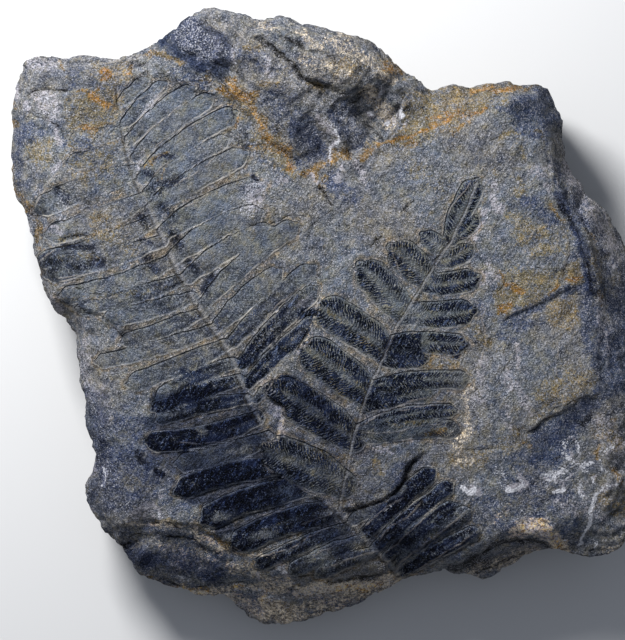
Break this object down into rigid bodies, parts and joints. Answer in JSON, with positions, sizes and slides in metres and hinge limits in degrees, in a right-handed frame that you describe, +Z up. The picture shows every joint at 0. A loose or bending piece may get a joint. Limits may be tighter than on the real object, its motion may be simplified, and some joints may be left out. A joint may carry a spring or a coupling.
{
  "type": "fossil fern leaf slab",
  "caption": "Broken block of dark slate lying flat, with pinnate fern leaves pressed in low relief on its upper face; a natural history display piece.",
  "frame": {"origin": "centre of the slab's bounding box on its flat underside", "axes": "+X to the right across the leaves, +Y towards the tip of the larger leaf, +Z up out of the face that carries the leaves"},
  "size_m": [0.19, 0.1856, 0.044],
  "materials": {
    "slate": "natural"
  },
  "bodies": {
    "root": {"fossil_slab": "slate"}
  },
  "joints": []
}
